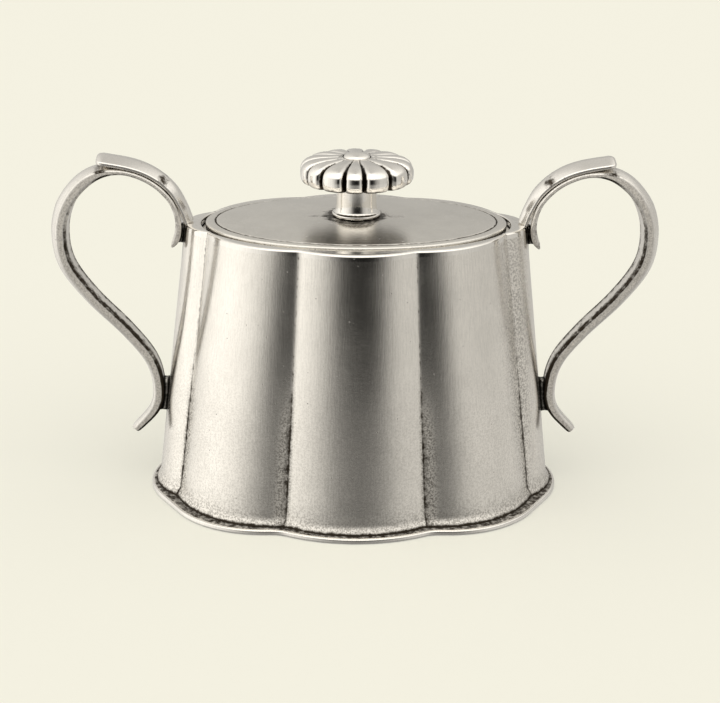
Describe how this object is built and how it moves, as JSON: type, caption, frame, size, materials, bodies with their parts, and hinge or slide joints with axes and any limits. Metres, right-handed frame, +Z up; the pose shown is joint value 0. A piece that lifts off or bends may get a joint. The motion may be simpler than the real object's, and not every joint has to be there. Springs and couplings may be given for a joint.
{
  "type": "lidded sugar bowl",
  "caption": "Lobed, tapering oval sugar bowl in antiqued silver on a flat foot, with a scroll handle at each end and a lift-off domed lid under a petalled knob.",
  "frame": {"origin": "middle of the foot's underside, where the bowl rests", "axes": "+Z up, +X towards the right handle, -Y towards the front"},
  "size_m": [0.1634, 0.0816, 0.095],
  "materials": {
    "brushed_silver": "brushed antiqued silver",
    "polished_silver": "worn polished silver",
    "dark_patina": "dark tarnished silver"
  },
  "bodies": {
    "bowl": {"base_plate": "brushed_silver", "body_wall": "brushed_silver", "handle_leaf_left": "brushed_silver", "handle_leaf_right": "brushed_silver", "handle_lower_lug_left": "dark_patina", "handle_lower_lug_right": "dark_patina", "handle_scroll_left": "brushed_silver", "handle_scroll_right": "brushed_silver", "handle_upper_lug_left": "dark_patina", "handle_upper_lug_right": "dark_patina", "lid_seat_ring": "brushed_silver", "rim_collar": "polished_silver"},
    "lid": {"lid_plate": "brushed_silver", "lid_locating_ring": "brushed_silver", "knob_stem": "brushed_silver", "knob_head": "polished_silver", "knob_button": "polished_silver", "knob_stud": "dark_patina", "knob_washer": "dark_patina", "knob_nut": "dark_patina"}
  },
  "joints": [
    {"name": "lid_lift", "type": "slide", "parent": "bowl", "child": "lid", "axis": [0, 0, 1], "range_m": [0, 0.06]}
  ]
}
